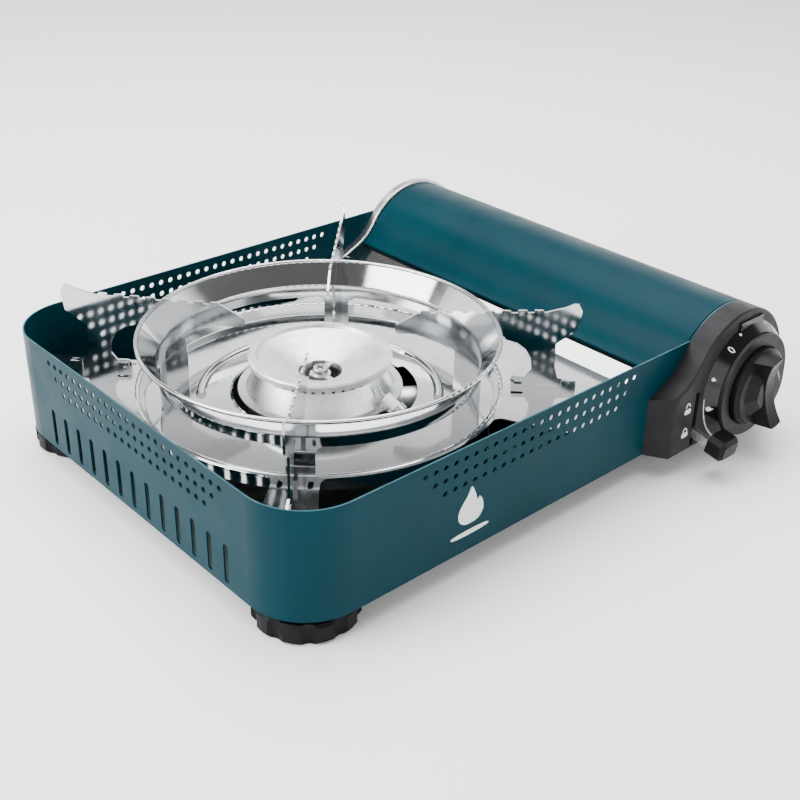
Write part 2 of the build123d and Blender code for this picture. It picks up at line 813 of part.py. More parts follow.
def ignition_lead():
    """The insulated lead from the igniter to the electrode."""
    points = [Vector(*p) for p in lead_route()]
    path = FilletPolyline(*points, radius=6)
    plane = Plane(origin=points[0], z_dir=points[1] - points[0])
    return sweep(plane * Circle(1.2), path=path)


def piezo_igniter():
    """The spark generator beside the valve stem."""
    block = box(igniter_x, igniter_x + 9, 12, 40, floor_z, 26)
    return block - front_rod(igniter_x + 4.5, plunger_z, 10, 24, 2.5 + running)


def piezo_plunger():
    """The sprung plunger that the knob's cam drives home."""
    x = igniter_x + 4.5
    return front_rod(x, plunger_z, 6.5, 18.5, 2.5) + front_rod(x, plunger_z, 5, 6.5, 4)


def foot(place):
    """A scalloped foot wheel with a recess for its bush."""
    upward = (Align.CENTER, Align.CENTER, Align.MIN)
    wheel = Cylinder(foot_radius, foot_height, align=upward)
    wheel = chamfer(wheel.edges(), 1.4)
    cutter = Cylinder(scallop_radius, 3 * foot_height)
    far = foot_radius + scallop_radius - 2.2
    for i in range(scallops):
        wheel -= Rot(0, 0, (i + 0.5) * 360 / scallops) * (Pos(far, 0, 0) * cutter)
    top = wall_base - foot_gap
    wheel += Pos(0, 0, foot_height) * Cylinder(12, top - foot_height, align=upward)
    wheel -= Pos(0, 0, bush_low - foot_gap) * Cylinder(bush_radius + 0.6, foot_height, align=upward)
    wheel -= Pos(0, 0, 3) * Cylinder(stud_radius, foot_height, align=upward)
    return Pos(place[0], place[1], 0) * wheel


def foot_stud(place):
    """The threaded stud moulded into a foot."""
    x, y = place
    return rod((x, y, 3), (x, y, floor_z + bush_flange_t), stud_radius)


def foot_bushes():
    """Four threaded bushes in the base plate, thin enough to clear the cartridge."""
    bushes = []
    for x, y in foot_places():
        bush = rod((x, y, bush_low), (x, y, floor_z), bush_radius)
        bush += rod((x, y, floor_z), (x, y, floor_z + bush_flange_t), bush_flange)
        bushes.append(bush - rod((x, y, 0), (x, y, wall_top), stud_radius + running))
    return Compound(children=bushes)


def tray_posts():
    """Two posts on the base plate below the left pan supports."""
    posts = []
    for angle in (135, 225):
        x, y = polar(post_distance, angle)
        post = rod((x, y, floor_z), (x, y, tray_z - tray_t), post_radius)
        posts.append(post + rod((x, y, floor_z), (x, y, floor_z + 1), post_radius + 3))
    return Compound(children=posts)


def tray_cut_outs():
    """The open places between the dish and the walls, in plan about the burner axis."""
    far = 2 * body_width
    faces = []
    strip = Pos(far / 2, 0) * Rectangle(far, 2 * tongue_half)
    tongues = [Rot(0, 0, angle) * strip for angle in (135, 225)]
    for start, end in cut_outs:
        corners = [(far * cos(radians(a)), far * sin(radians(a))) for a in (start, end)]
        wedge = make_face(Polyline((0, 0), *corners, close=True))
        opening = wedge - Circle(hem_radius) - tongues
        near = [v for v in opening.vertices() if Vector(v.X, v.Y).length < 2 * hem_radius]
        faces.append(fillet(near, cut_out_corner))
    return faces


def drip_tray():
    """The polished tray: a flat sheet, a dish, two ribs and the support ears."""
    edge = wall_t + tray_gap
    flat_end = tray_edge_x - tray_flange
    plan = wall_outline(edge) & (Pos(0, body_depth / 2) * Rectangle(2 * flat_end, body_depth))
    centre = Pos(burner_x, burner_y)
    plan -= centre * Circle(dish_radius + 1)
    for cut in tray_cut_outs():
        plan -= centre * cut
    sheet = Pos(0, 0, tray_z - tray_t) * extrude(plan, amount=tray_t)
    low = tray_edge_x - tray_flange
    flange = Polyline(
        (low - 1, tray_z),
        (low, tray_z),
        (tray_edge_x, tray_z + tray_flange_rise),
        (tray_edge_x, tray_z + tray_flange_rise - tray_t),
        (low, tray_z - tray_t),
        (low - 1, tray_z - tray_t),
        close=True,
    )
    sheet += upright(make_face(flange), edge, body_depth - edge)
    middle = tray_t / 2
    dish = FilletPolyline(
        (hem_radius - middle, tray_z - hem_drop),
        (hem_radius - middle, tray_z - middle),
        (dish_radius + 1.4, tray_z - middle),
        (dish_radius - 0.2, tray_z + 0.4),
        (dish_radius - 3.0, dish_z - middle),
        (burner_hole + 1.6, dish_z - middle),
        (burner_hole + 0.3, dish_z + 0.7),
        radius=0.9,
    )
    tray = sheet + turned(trace(dish, tray_t))
    tray -= box(ramp_x - cap_step - tray_gap, body_width, cap_front - tray_gap, body_depth, 0, 80)
    for start, sweep_deg in ((92, 56), (-50, 62)):
        tray += rib(start, sweep_deg)
    notch = box(burner_hole - 6, notch_reach - notch_width / 2, -notch_width / 2, notch_width / 2, 30, 50)
    notch += Pos(notch_reach - notch_width / 2, 0, 40) * Cylinder(notch_width / 2, 20)
    tray -= Pos(burner_x, burner_y, 0) * (Rot(0, 0, notch_angle) * notch)
    opening = section(burner_hole - 6, burner_gap_radius, 30, 50)
    air_gap = Rot(0, 0, burner_gap_start) * revolve(Plane.XZ * opening, Axis.Z, burner_gap_sweep)
    tray -= Pos(burner_x, burner_y, 0) * air_gap
    drain = Pos(0, 0, tray_z - 2) * extrude(SlotOverall(6.5, 2.6), amount=4)
    for angle in support_angles:
        for side in (-1, 1):
            spot = Pos(drain_distance, side * drain_offset, 0) * drain
            tray -= Pos(burner_x, burner_y, 0) * (Rot(0, 0, angle) * spot)
        for ear in support_ears():
            tray += Pos(burner_x, burner_y, 0) * (Rot(0, 0, angle) * ear)
    return tray


def rib(start, sweep_deg):
    """A raised, round-topped rib on the dish floor."""
    half = rib_width / 2
    arch = make_face(
        Wire([
            ThreePointArc(
                (rib_radius - half, dish_z - 0.1),
                (rib_radius, dish_z + rib_height),
                (rib_radius + half, dish_z - 0.1),
            ),
            Line((rib_radius + half, dish_z - 0.1), (rib_radius - half, dish_z - 0.1)),
        ])
    )
    body = revolve(Plane.XZ * arch, Axis.Z, sweep_deg)
    return Pos(burner_x, burner_y, 0) * (Rot(0, 0, start) * body)


def support_ears():
    """Two pairs of ears that grip a support's foot bar, with the support along +X."""
    ears = []
    clear = blade_t / 2 + 0.05
    for r0 in (foot_inner + 1.5, foot_outer - 7.5):
        for side in (-1, 1):
            near = side * clear
            far = side * (clear + ear_t)
            ear = box(r0, r0 + 6, min(near, far), max(near, far), tray_z - 0.2, tray_z + 5)
            ears.append(ear)
    return ears


def wind_ring():
    """The flared ring with windows between its four legs."""
    bead_r = ring_rim_radius - bead_radius
    bead_z = ring_rim_z - bead_radius
    path = FilletPolyline(
        (ring_radius, dish_z),
        (ring_radius, ring_bend_z),
        (bead_r, bead_z),
        radius=4,
    )
    bead = Pos(bead_r, bead_z) * Circle(bead_radius)
    ring = turned(trace(path, ring_t)) + turned(bead)
    reach = ring_radius + 3
    arc_half = degrees(atan2(leg_width / 2, ring_radius))
    for angle in support_angles:
        ring -= window(angle + arc_half, 90 - 2 * arc_half, reach)
    for angle in support_angles:
        slit = box(ring_radius - 2, reach + 1, -0.9, 0.9, dish_z - 1, dish_z + 0.5)
        ring -= Pos(burner_x, burner_y, 0) * (Rot(0, 0, angle) * slit)
    return ring


def window(start, sweep_deg, reach):
    """The cutter for one window, with rounded upper corners."""
    radius = 4.0
    inner = ring_radius - 3
    corner = degrees(radius / ring_radius)
    low = section(inner, reach, dish_z - 1, window_top - radius)
    high = section(inner, reach, dish_z, window_top)
    cutter = Rot(0, 0, start) * revolve(Plane.XZ * low, Axis.Z, sweep_deg)
    cutter += Rot(0, 0, start + corner) * revolve(Plane.XZ * high, Axis.Z, sweep_deg - 2 * corner)
    for angle in (start + corner, start + sweep_deg - corner):
        x = (ring_radius - 4) * cos(radians(angle))
        y = (ring_radius - 4) * sin(radians(angle))
        tip = (8 * cos(radians(angle)), 8 * sin(radians(angle)), 0)
        end = (x + tip[0], y + tip[1], window_top - radius)
        cutter += rod((x, y, window_top - radius), end, radius)
    return Pos(burner_x, burner_y, 0) * cutter


def blade_outline():
    """The side view of a pan support, as (distance from the burner axis, height)."""
    inside = ring_radius - ring_t / 2 - 0.1
    leg_inner = inside - 13.5
    crown = pan_z - 2.6
    rim_inside = ring_rim_radius - 2 * bead_radius - 0.8
    points = [
        (leg_inner, dish_z + 0.05),
        (leg_inner, 66.5),
        (leg_inner - 8.5, 72.2),
        (leg_inner - 14.5, 74.6),
        (tip_radius + 1.2, 74.2),
        (tip_radius, 75.5),
        (tip_radius + 0.3, 79.0),
        (tip_radius + 11.4, crown),
        (81.6, pan_z - 1.2),
        (114.0, 90.4 - 1.2),
        (124.6, 92.4),
        (128.2, lip_z),
        (130.6, lip_z),
        (132.5, 90.8),
        (131.1, 80.3),
        (120.6, 72.0),
        (121.0, 58.5),
        (122.8, foot_top),
        (foot_outer, foot_top - 1.5),
        (foot_outer, tray_z + 0.05),
        (foot_inner, tray_z + 0.05),
        (foot_inner, foot_top - 1.5),
        (foot_inner + 1.5, foot_top),
        (106.5, foot_top),
        (109.2, 56.5),
        (108.4, 63.2),
        (105.6, 68.2),
        (101.0, 71.8),
        (ring_rim_radius + 1.2, 73.4),
        (ring_rim_radius + 0.5, ring_rim_z + 0.4),
        (rim_inside, ring_rim_z + 0.4),
        (inside, ring_bend_z + 0.3),
        (inside, dish_z + 0.05),
    ]
    return make_face(Polyline(*points, close=True))


def pan_support(angle):
    """One pan support: a thin blade with a serrated top edge."""
    face = blade_outline()
    for i in range(tooth_count):
        r = tip_radius + 15.0 + i * tooth_pitch
        height = pan_z - 1.2 + 0.06 * max(0, r - 81.6)
        height -= max(0, 81.6 - r) * 0.042
        land = Pos(r, height) * RectangleRounded(tooth_pitch - 3.2, 2.4, 1.0)
        face += land
    blade = extrude(Plane.XZ * face, amount=blade_t / 2, both=True)
    return Pos(burner_x, burner_y, 0) * (Rot(0, 0, angle) * blade)


def wall_screws():
    """Screw heads that hold the housing to the front wall and the cap to the back wall."""
    screws = []
    for x, z in ((bay_x - 28, 30), (bay_x + 24, 30), (bay_x, bay_z + 33)):
        screws.append(front_rod(x, z, wall_t, wall_t + 1.6, 3.2))
        screws.append(front_rod(x, z, cap_front - 1.6, cap_front, 3.2))
    return Compound(children=screws)


def base_screws():
    """Screws under the base plate for the stands above it."""
    screws = []
    places = (
        (burner_x - 32, burner_y),
        (burner_x + 32, burner_y),
        (knob_x, 26),
        (partition_x - 5, 80),
        (partition_x - 5, 170),
    )
    for x, y in places:
        screws.append(rod((x, y, wall_base - 1.4), (x, y, wall_base), 3))
    return Compound(children=screws)


def export(name, shape):
    """Writes one node, moved to the overall origin."""
    moved = Pos(overall_shift) * shape
    solids = moved.solids()
    result = solids[0] if len(solids) == 1 else Compound(children=list(solids))
    export_step(result, os.path.join("parts", name + ".step"))


def main():
    os.makedirs("parts", exist_ok=True)
    pieces = {
        "body_shell": body_shell,
        "base_plate": base_plate,
        "bay_partition": partition,
        "valve_panel": valve_panel,
        "cartridge_cradle": cartridge_cradle,
        "cartridge_yoke": cartridge_yoke,
        "yoke_guides": yoke_guides,
        "rear_end_cap": rear_cap,
        "knob_housing": knob_housing,
        "dial_ring": dial_ring,
        "knob": knob,
        "valve_stem": valve_stem,
        "regulator_body": regulator_body,
        "regulator_cover": regulator_cover,
        "inlet_seal": inlet_seal,
        "gas_tube": gas_tube,
        "gas_jet": gas_jet,
        "mixing_tube": mixing_tube,
        "burner_stand": burner_stand,
        "burner_bowl": burner_bowl,
        "burner_head": burner_head,
        "burner_screw": burner_screw,
        "electrode_ceramic": electrode_ceramic,
        "electrode_wire": electrode_wire,
        "electrode_clip": electrode_clip,
        "ignition_lead": ignition_lead,
        "piezo_igniter": piezo_igniter,
        "piezo_plunger": piezo_plunger,
        "drip_tray": drip_tray,
        "wind_ring": wind_ring,
        "lid": lid,
        "lid_hinge_rod": hinge_rod,
        "jet_holder": jet_holder,
        "tray_posts": tray_posts,
        "lever_arm": lever_arm,
        "lever_cap": lever_cap,
        "lever_bracket": lever_bracket,
        "lever_pin": lever_pin,
        "foot_bushes": foot_bushes,
        "wall_screws": wall_screws,
        "base_screws": base_screws,
    }
    for name, make in pieces.items():
        export(name, make())
    for number, angle in enumerate(support_angles, 1):
        export(f"pan_support_{number}", pan_support(angle))
    for number, place in enumerate(foot_places(), 1):
        export(f"foot_{number}", foot(place))
        export(f"foot_stud_{number}", foot_stud(place))


if __name__ == "__main__":
    main()
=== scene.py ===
from math import cos, hypot, pi, radians, sin

import bmesh
import bpy
from mathutils import Matrix, Vector


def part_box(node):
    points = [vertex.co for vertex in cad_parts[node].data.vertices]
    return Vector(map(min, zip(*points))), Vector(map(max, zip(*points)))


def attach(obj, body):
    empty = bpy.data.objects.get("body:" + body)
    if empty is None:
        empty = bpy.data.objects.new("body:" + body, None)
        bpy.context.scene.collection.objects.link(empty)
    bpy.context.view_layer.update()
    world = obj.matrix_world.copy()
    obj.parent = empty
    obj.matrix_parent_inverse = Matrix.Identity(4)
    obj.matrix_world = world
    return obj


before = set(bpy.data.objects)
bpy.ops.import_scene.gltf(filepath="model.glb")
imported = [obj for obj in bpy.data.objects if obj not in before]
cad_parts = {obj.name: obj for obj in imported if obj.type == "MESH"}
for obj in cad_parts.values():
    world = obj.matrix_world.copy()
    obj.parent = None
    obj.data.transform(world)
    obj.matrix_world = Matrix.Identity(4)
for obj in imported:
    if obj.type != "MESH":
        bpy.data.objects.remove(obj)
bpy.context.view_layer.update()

bl_info = {
    "name": "Camping stove finishes",
    "version": (1, 0, 0),
    "blender": (4, 5, 0),
    "location": "3D View > Sidebar > Camping stove",
    "description": "Finishes, printed marks and studio for a single-burner gas stove",
    "category": "Object",
}

BASE = "base"
MM = 0.001
PICTURE_WIDTH = 800
SENSOR_WIDTH = 36.0
FULL_TURN = 2 * pi
WALL_TOP = 69.2 * MM
DIAL_OUTER_RADIUS = 34.5 * MM
DIAL_INNER_RADIUS = 29.8 * MM
HEAT_ARC_START = radians(-142)
HEAT_ARC_SWEEP = radians(52)
HEAT_ARC_STEPS = 48

# Which CAD nodes take each finish
UNDERSIDE = ("base_plate", "bay_partition")
POLISHED = ("drip_tray", "wind_ring", "pan_support_1", "pan_support_2", "pan_support_3", "pan_support_4")
SATIN = (
    "cartridge_yoke", "yoke_guides", "rear_end_cap", "burner_bowl", "burner_screw", "electrode_wire",
    "electrode_clip", "lid_hinge_rod", "lever_arm", "lever_pin", "wall_screws", "base_screws",
)
ZINC = (
    "valve_panel", "cartridge_cradle", "jet_holder", "mixing_tube", "burner_stand", "lever_bracket",
    "foot_bushes", "tray_posts", "foot_stud_1", "foot_stud_2", "foot_stud_3", "foot_stud_4",
)
CAST = ("regulator_body", "regulator_cover")
BRASS = ("valve_stem", "gas_tube", "gas_jet")
BLACK = ("knob", "lever_cap", "piezo_igniter", "piezo_plunger")
FEET = ("foot_1", "foot_2", "foot_3", "foot_4")


class StoveColours(bpy.types.PropertyGroup):
    """Colours of the paint, metals and plastics."""
    wall_paint: bpy.props.FloatVectorProperty(
        name="Wall paint", description="Teal enamel of the body and the lid",
        default=(0.0003, 0.022, 0.031), min=0, max=1, size=3, subtype="COLOR")
    wall_paint_light: bpy.props.FloatVectorProperty(
        name="Light paint", description="Teal where the enamel lies thinner",
        default=(0.0005, 0.028, 0.039), min=0, max=1, size=3, subtype="COLOR")
    # Near-black base plate tone: painted shade for the hollow under the tray
    underside_shade: bpy.props.FloatVectorProperty(
        name="Underside", description="Dark coating of the base plate",
        default=(0.005, 0.007, 0.008), min=0, max=1, size=3, subtype="COLOR")
    polished: bpy.props.FloatVectorProperty(
        name="Polished steel", description="Tray, wind ring and pan supports",
        default=(0.57, 0.58, 0.59), min=0, max=1, size=3, subtype="COLOR")
    burner: bpy.props.FloatVectorProperty(
        name="Burner head", description="Pale cast alloy of the burner head",
        default=(0.74, 0.74, 0.72), min=0, max=1, size=3, subtype="COLOR")
    housing: bpy.props.FloatVectorProperty(
        name="Housing", description="Dark grey moulding around the knob",
        default=(0.011, 0.011, 0.012), min=0, max=1, size=3, subtype="COLOR")
    black_moulding: bpy.props.FloatVectorProperty(
        name="Black moulding", description="Knob, lever cap and feet",
        default=(0.0028, 0.0028, 0.0034), min=0, max=1, size=3, subtype="COLOR")
    print_white: bpy.props.FloatVectorProperty(
        name="Print", description="White ink of the marks",
        default=(0.72, 0.73, 0.73), min=0, max=1, size=3, subtype="COLOR")


class StoveSizes(bpy.types.PropertyGroup):
    """Sizes of the printed marks."""
    ink_height: bpy.props.FloatProperty(
        name="Ink height", description="How far the ink stands above its surface",
        default=0.12 * MM, min=0.02 * MM, unit="LENGTH")
    dial_mark: bpy.props.FloatProperty(
        name="Dial mark", description="Height of the signs on the dial ring",
        default=4.2 * MM, min=1 * MM, unit="LENGTH")
    emblem_height: bpy.props.FloatProperty(
        name="Emblem height", description="Height of the flame sign on the front wall",
        default=27 * MM, min=2 * MM, unit="LENGTH")
    emblem_x: bpy.props.FloatProperty(
        name="Emblem place", description="Distance of the flame sign from the left wall",
        default=101 * MM, unit="LENGTH")
    emblem_z: bpy.props.FloatProperty(
        name="Emblem foot", description="Height of the flame sign's foot above the table",
        default=21 * MM, unit="LENGTH")
    lock_sign: bpy.props.FloatProperty(
        name="Lock sign", description="Height of the padlock signs beside the lever",
        default=6.5 * MM, min=1 * MM, unit="LENGTH")


class StoveStudio(bpy.types.PropertyGroup):
    """Floor, lights and camera."""
    floor_width: bpy.props.FloatProperty(
        name="Floor width", description="Width of the pale floor", default=80.0, unit="LENGTH")
    floor_tone: bpy.props.FloatProperty(
        name="Floor tone", description="How much light the floor returns",
        default=0.93, min=0, max=1, subtype="FACTOR")
    room_strength: bpy.props.FloatProperty(
        name="Room light", description="Strength of the light from all round", default=2.6, min=0)
    overhead_power: bpy.props.FloatProperty(
        name="Overhead", description="Power of the overhead softbox in watts", default=26.0, min=0)
    key_power: bpy.props.FloatProperty(
        name="Key", description="Power of the softbox on the left in watts", default=22.0, min=0)
    camera_place: bpy.props.FloatVectorProperty(
        name="Camera", description="Where the camera stands",
        default=(-0.4009, -0.4247, 0.3482), size=3, subtype="XYZ", unit="LENGTH")
    camera_target: bpy.props.FloatVectorProperty(
        name="Target", description="Where the camera looks",
        default=(-0.0065, 0.0022, 0.0351), size=3, subtype="XYZ", unit="LENGTH")
    camera_roll: bpy.props.FloatProperty(
        name="Roll", description="Turn of the camera about its own axis",
        default=radians(1.33), subtype="ANGLE")
    focal_length: bpy.props.FloatProperty(
        name="Focal length", description="Focal length in widths of the picture",
        default=1220.35 / PICTURE_WIDTH, min=0.1)
    shift: bpy.props.FloatVectorProperty(
        name="Shift", description="Camera shift in widths of the picture",
        default=(-0.0061, -0.0236), size=2)


class Finish:
    """One node-based finish. Lengths are in metres and places are the object's own."""

    def __init__(self, name):
        self.material = bpy.data.materials.new(name)
        self.material.use_nodes = True
        self.tree = self.material.node_tree
        self.shader = self.tree.nodes["Principled BSDF"]
        self.place = self.node("ShaderNodeTexCoord").outputs["Object"]
        self.normal = None

    def node(self, kind, **settings):
        made = self.tree.nodes.new(kind)
        for key, value in settings.items():
            setattr(made, key, value)
        return made

    def link(self, source, target):
        self.tree.links.new(source, target)

    def fixed(self, **sockets):
        for name, value in sockets.items():
            self.shader.inputs[name.replace("_", " ")].default_value = value

    def noise(self, size, detail=3.0, stretch=(1, 1, 1)):
        """Soft cloudy variation whose features are about size across."""
        mapping = self.node("ShaderNodeMapping")
        mapping.inputs["Scale"].default_value = stretch
        texture = self.node("ShaderNodeTexNoise")
        texture.inputs["Scale"].default_value = 1 / size
        texture.inputs["Detail"].default_value = detail
        self.link(self.place, mapping.inputs["Vector"])
        self.link(mapping.outputs["Vector"], texture.inputs["Vector"])
        return texture.outputs["Fac"]

    def cells(self, size):
        """Crystal-like patches about size across."""
        texture = self.node("ShaderNodeTexVoronoi")
        texture.inputs["Scale"].default_value = 1 / size
        self.link(self.place, texture.inputs["Vector"])
        return texture.outputs["Distance"]

    def rings(self, centre, pitch):
        """Fine turning marks about an upright axis."""
        mapping = self.node("ShaderNodeMapping")
        mapping.inputs["Location"].default_value = (-centre[0], -centre[1], 0)
        wave = self.node("ShaderNodeTexWave", wave_type="RINGS", rings_direction="Z")
        wave.inputs["Scale"].default_value = 1 / (20 * pitch)
        wave.inputs["Distortion"].default_value = 0.4
        self.link(self.place, mapping.inputs["Vector"])
        self.link(mapping.outputs["Vector"], wave.inputs["Vector"])
        return wave.outputs["Fac"]

    def span(self, source, low, high, start=0.3, end=0.7):
        """Turns a variation into values between low and high."""
        mapped = self.node("ShaderNodeMapRange")
        limits = (("From Min", start), ("From Max", end), ("To Min", low), ("To Max", high))
        for name, value in limits:
            mapped.inputs[name].default_value = value
        self.link(source, mapped.inputs["Value"])
        return mapped.outputs["Result"]

    def blend(self, factor, first, second):
        """A colour between two, where each is a colour or a node's output."""
        mix = self.node("ShaderNodeMix", data_type="RGBA")
        sockets = [s for s in mix.inputs if s.type == "RGBA"]
        for socket, colour in zip(sockets, (first, second)):
            if isinstance(colour, bpy.types.NodeSocket):
                self.link(colour, socket)
            else:
                socket.default_value = (*colour, 1)
        self.link(factor, mix.inputs[0])
        return next(s for s in mix.outputs if s.type == "RGBA")

    def colour(self, output):
        self.link(output, self.shader.inputs["Base Color"])

    def roughness(self, output):
        self.link(output, self.shader.inputs["Roughness"])

    def bump(self, source, depth, strength=1.0):
        """Adds relief of about depth on top of what is there."""
        relief = self.node("ShaderNodeBump")
        relief.inputs["Distance"].default_value = depth
        relief.inputs["Strength"].default_value = strength
        self.link(source, relief.inputs["Height"])
        if self.normal:
            self.link(self.normal, relief.inputs["Normal"])
        self.normal = relief.outputs["Normal"]
        self.link(self.normal, self.shader.inputs["Normal"])


def painted_rim_highlight(paint, body, rim_height):
    """Paints a highlight: lightens the faces that look up along the rim, in patches set by noise."""
    geometry = paint.node("ShaderNodeNewGeometry")
    masks = []
    for output, low, high in (
        ("Position", rim_height - 0.3 * MM, rim_height - 0.1 * MM),
        ("Normal", 0.8, 0.95),
    ):
        split = paint.node("ShaderNodeSeparateXYZ")
        paint.link(geometry.outputs[output], split.inputs["Vector"])
        masks.append(paint.span(split.outputs["Z"], 0, 1, low, high))
    masks.append(paint.span(paint.noise(9 * MM), 0.25, 0.8))
    total = masks[0]
    for mask in masks[1:]:
        product = paint.node("ShaderNodeMath", operation="MULTIPLY")
        paint.link(total, product.inputs[0])
        paint.link(mask, product.inputs[1])
        total = product.outputs[0]
    # painted highlight: lighter teal on the up-facing faces at the top of the rim
    return paint.blend(total, body, (0.05, 0.14, 0.17))


def enamel(name, colours, rim_height=None):
    """Teal enamel with orange peel, and a thin painted highlight along a cut upper rim."""
    paint = Finish(name)
    cloud = paint.span(paint.noise(45 * MM), 0, 1)
    body = paint.blend(cloud, colours.wall_paint, colours.wall_paint_light)
    # the body's upper rim gets a painted highlight
    paint.colour(body if rim_height is None else painted_rim_highlight(paint, body, rim_height))
    paint.roughness(paint.span(paint.noise(18 * MM, 5), 0.3, 0.42))
    paint.fixed(Specular_IOR_Level=0.06)
    paint.bump(paint.noise(1.3 * MM, 1), 0.05 * MM, 0.35)
    paint.bump(paint.noise(70 * MM, 1), 0.5 * MM, 0.2)
    return paint.material


def underside_painted_shade(colours):
    """Matt near-black finish with dust and rub marks; its dark tone is painted shade for the base plate
    under the tray.
    """
    coat = Finish("underside_painted_shade")
    lighter = tuple(2.2 * part for part in colours.underside_shade)
    # painted shade: near-black tone for the base plate under the tray, lightened in patches as dust
    coat.colour(coat.blend(coat.span(coat.noise(14 * MM, 6), 0, 1), colours.underside_shade, lighter))
    coat.roughness(coat.span(coat.noise(6 * MM, 4), 0.45, 0.65))
    coat.bump(coat.noise(0.8 * MM, 2), 0.04 * MM, 0.4)
    return coat.material


def polished_steel(colours):
    """Mirror-polished stainless sheet: slight waves, hairlines and faint smears."""
    steel = Finish("polished_steel")
    duller = tuple(0.9 * part for part in colours.polished)
    steel.colour(steel.blend(steel.span(steel.noise(25 * MM, 4), 0, 1), colours.polished, duller))
    steel.roughness(steel.span(steel.noise(16 * MM, 6), 0.05, 0.13))
    steel.fixed(Metallic=1.0)
    steel.bump(steel.noise(38 * MM, 1), 0.35 * MM, 0.3)
    steel.bump(steel.noise(1.6 * MM, 2, (1, 14, 14)), 0.004 * MM, 0.5)
    return steel.material


def satin_steel():
    """Pressed steel with a drawn grain."""
    steel = Finish("satin_steel")
    cloud = steel.span(steel.noise(10 * MM, 4), 0, 1)
    steel.colour(steel.blend(cloud, (0.6, 0.61, 0.62), (0.48, 0.49, 0.5)))
    steel.roughness(steel.span(steel.noise(2 * MM, 4, (1, 12, 1)), 0.22, 0.38))
    steel.fixed(Metallic=1.0)
    steel.bump(steel.noise(1 * MM, 2, (1, 16, 1)), 0.01 * MM, 0.5)
    return steel.material


def zinc_steel():
    """Galvanised sheet with soft crystal patches."""
    steel = Finish("zinc_steel")
    steel.colour(steel.blend(steel.cells(5 * MM), (0.5, 0.52, 0.54), (0.66, 0.67, 0.68)))
    steel.roughness(steel.span(steel.noise(5 * MM, 4), 0.34, 0.5))
    steel.fixed(Metallic=0.95)
    steel.bump(steel.cells(3.5 * MM), 0.02 * MM, 0.4)
    return steel.material


def burner_alloy(colours, centre):
    """Pale cast alloy with fine turning marks and a sandy skin."""
    alloy = Finish("burner_alloy")
    darker = tuple(0.8 * part for part in colours.burner)
    alloy.colour(alloy.blend(alloy.span(alloy.noise(7 * MM, 5), 0, 1), colours.burner, darker))
    alloy.roughness(alloy.span(alloy.noise(3 * MM, 5), 0.3, 0.46))
    alloy.fixed(Metallic=0.9)
    alloy.bump(alloy.rings(centre, 0.5 * MM), 0.02 * MM, 0.4)
    alloy.bump(alloy.noise(0.5 * MM, 2), 0.02 * MM, 0.4)
    return alloy.material


def cast_alloy():
    """Rough grey die casting."""
    alloy = Finish("cast_alloy")
    cloud = alloy.span(alloy.noise(6 * MM, 5), 0, 1)
    alloy.colour(alloy.blend(cloud, (0.5, 0.5, 0.49), (0.36, 0.36, 0.36)))
    alloy.roughness(alloy.span(alloy.noise(2 * MM, 4), 0.42, 0.6))
    alloy.fixed(Metallic=0.85)
    alloy.bump(alloy.noise(0.7 * MM, 3), 0.05 * MM, 0.6)
    return alloy.material


def brass():
    """Turned brass with a faint tarnish."""
    metal = Finish("brass")
    cloud = metal.span(metal.noise(4 * MM, 5), 0, 1)
    metal.colour(metal.blend(cloud, (0.72, 0.5, 0.2), (0.5, 0.33, 0.14)))
    metal.roughness(metal.span(metal.noise(3 * MM, 4), 0.2, 0.36))
    metal.fixed(Metallic=1.0)
    metal.bump(metal.noise(0.6 * MM, 2), 0.01 * MM, 0.4)
    return metal.material


def moulding(name, tone, low, high, grain, coat=0.0):
    """A moulded plastic with a fine grain and handling marks."""
    plastic = Finish(name)
    lighter = tuple(1.5 * part for part in tone)
    plastic.colour(plastic.blend(plastic.span(plastic.noise(12 * MM, 5), 0, 1), tone, lighter))
    plastic.roughness(plastic.span(plastic.noise(4 * MM, 4), low, high))
    plastic.fixed(Coat_Weight=coat, Coat_Roughness=0.12, IOR=1.5, Specular_IOR_Level=0.12)
    plastic.bump(plastic.noise(0.35 * MM, 2), grain, 0.5)
    return plastic.material


def assign(names, material):
    """Gives CAD nodes one finish."""
    for name in names:
        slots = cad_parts[name].data.materials
        slots.clear()
        slots.append(material)


def middle(name):
    """The middle of a CAD node's box."""
    low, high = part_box(name)
    return [(a + b) / 2 for a, b in zip(low, high)]


def softened(points, times=2):
    """A closed outline with its corners cut."""
    for _ in range(times):
        cut = []
        for i, (x0, y0) in enumerate(points):
            x1, y1 = points[(i + 1) % len(points)]
            cut.append((0.75 * x0 + 0.25 * x1, 0.75 * y0 + 0.25 * y1))
            cut.append((0.25 * x0 + 0.75 * x1, 0.25 * y0 + 0.75 * y1))
        points = cut
    return points


def scaled(points, width, height, centre=(0, 0)):
    return [(centre[0] + x * width, centre[1] + y * height) for x, y in points]


def oval(width, height, count=40):
    turns = [FULL_TURN * i / count for i in range(count)]
    return [(width * cos(t), height * sin(t)) for t in turns]


def raised(name, left, right, place, ink, closed=True, filled=False):
    """A thin raised print between two lines of as many points."""
    sink = -0.4 * ink.height
    shape = bmesh.new()
    levels = ((left, sink), (left, ink.height), (right, ink.height), (right, sink))
    rows = [[shape.verts.new(place(u, v, h)) for u, v in points] for points, h in levels]
    count = len(left)
    for i in range(count if closed else count - 1):
        j = (i + 1) % count
        for a, b in ((0, 1), (1, 2), (2, 3)):
            shape.faces.new((rows[a][i], rows[a][j], rows[b][j], rows[b][i]))
    if filled:
        shape.faces.new(rows[2])
    bmesh.ops.recalc_face_normals(shape, faces=shape.faces)
    mesh = bpy.data.meshes.new(name)
    shape.to_mesh(mesh)
    shape.free()
    mesh.materials.append(ink.material)
    mark = bpy.data.objects.new(name, mesh)
    bpy.context.scene.collection.objects.link(mark)
    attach(mark, BASE)
    return mark


